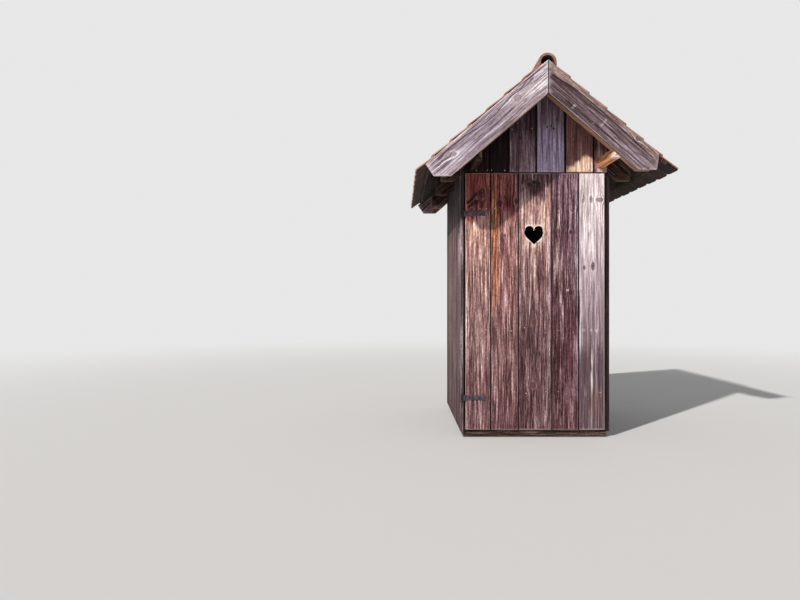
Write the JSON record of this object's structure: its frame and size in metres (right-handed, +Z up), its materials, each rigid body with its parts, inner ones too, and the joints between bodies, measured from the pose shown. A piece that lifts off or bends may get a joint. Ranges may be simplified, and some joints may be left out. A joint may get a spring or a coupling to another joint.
{
  "type": "wooden outhouse",
  "caption": "Weathered board outhouse with a heart-cut plank door on strap hinges and a steep clay-tiled gable roof.",
  "frame": {"origin": "on the ground under the ridge, midway between the gables", "axes": "+Z up, the door faces -Y, +X to the right seen from the front"},
  "size_m": [1.772, 1.756, 2.648],
  "materials": {
    "door_timber": "weathered, unpainted",
    "frame_timber": "weathered, unpainted",
    "barge_timber": "silvered, unpainted",
    "clay": "matte with lichen",
    "hinge_steel": "worn dark blue-grey"
  },
  "bodies": {
    "root": {"sill_front": "frame_timber", "sill_back": "frame_timber", "sill_left": "frame_timber", "sill_right": "frame_timber", "floor_boards": "frame_timber", "post_front_left": "frame_timber", "post_front_right": "frame_timber", "post_back_left": "frame_timber", "post_back_right": "frame_timber", "lintel_front": "frame_timber", "header_back": "frame_timber", "purlin_left": "frame_timber", "purlin_right": "frame_timber", "rails_left": "frame_timber", "rails_right": "frame_timber", "rail_back": "frame_timber", "wall_left": "frame_timber", "wall_right": "frame_timber", "wall_back": "frame_timber", "gable_front": "frame_timber", "gable_back": "frame_timber", "rafters_left": "frame_timber", "rafters_right": "frame_timber", "deck_left": "frame_timber", "deck_right": "frame_timber", "barge_front_left": "barge_timber", "barge_front_right": "barge_timber", "barge_back_left": "barge_timber", "barge_back_right": "barge_timber", "tiles_left": "clay", "tiles_right": "clay", "ridge_tiles": "clay", "pintle_lower": "hinge_steel", "pintle_upper": "hinge_steel"},
    "door": {"door_plank_1": "door_timber", "door_plank_2": "door_timber", "door_plank_3": "door_timber", "door_plank_4": "door_timber", "door_plank_5": "door_timber", "ledge_bottom": "door_timber", "ledge_middle": "door_timber", "ledge_top": "door_timber", "strap_lower": "hinge_steel", "strap_upper": "hinge_steel"}
  },
  "joints": [
    {"name": "door_hinge", "type": "hinge", "parent": "root", "child": "door", "pos_m": [-0.5195, -0.526, 1], "axis": [0, 0, -1], "range_deg": [0, 90]}
  ]
}
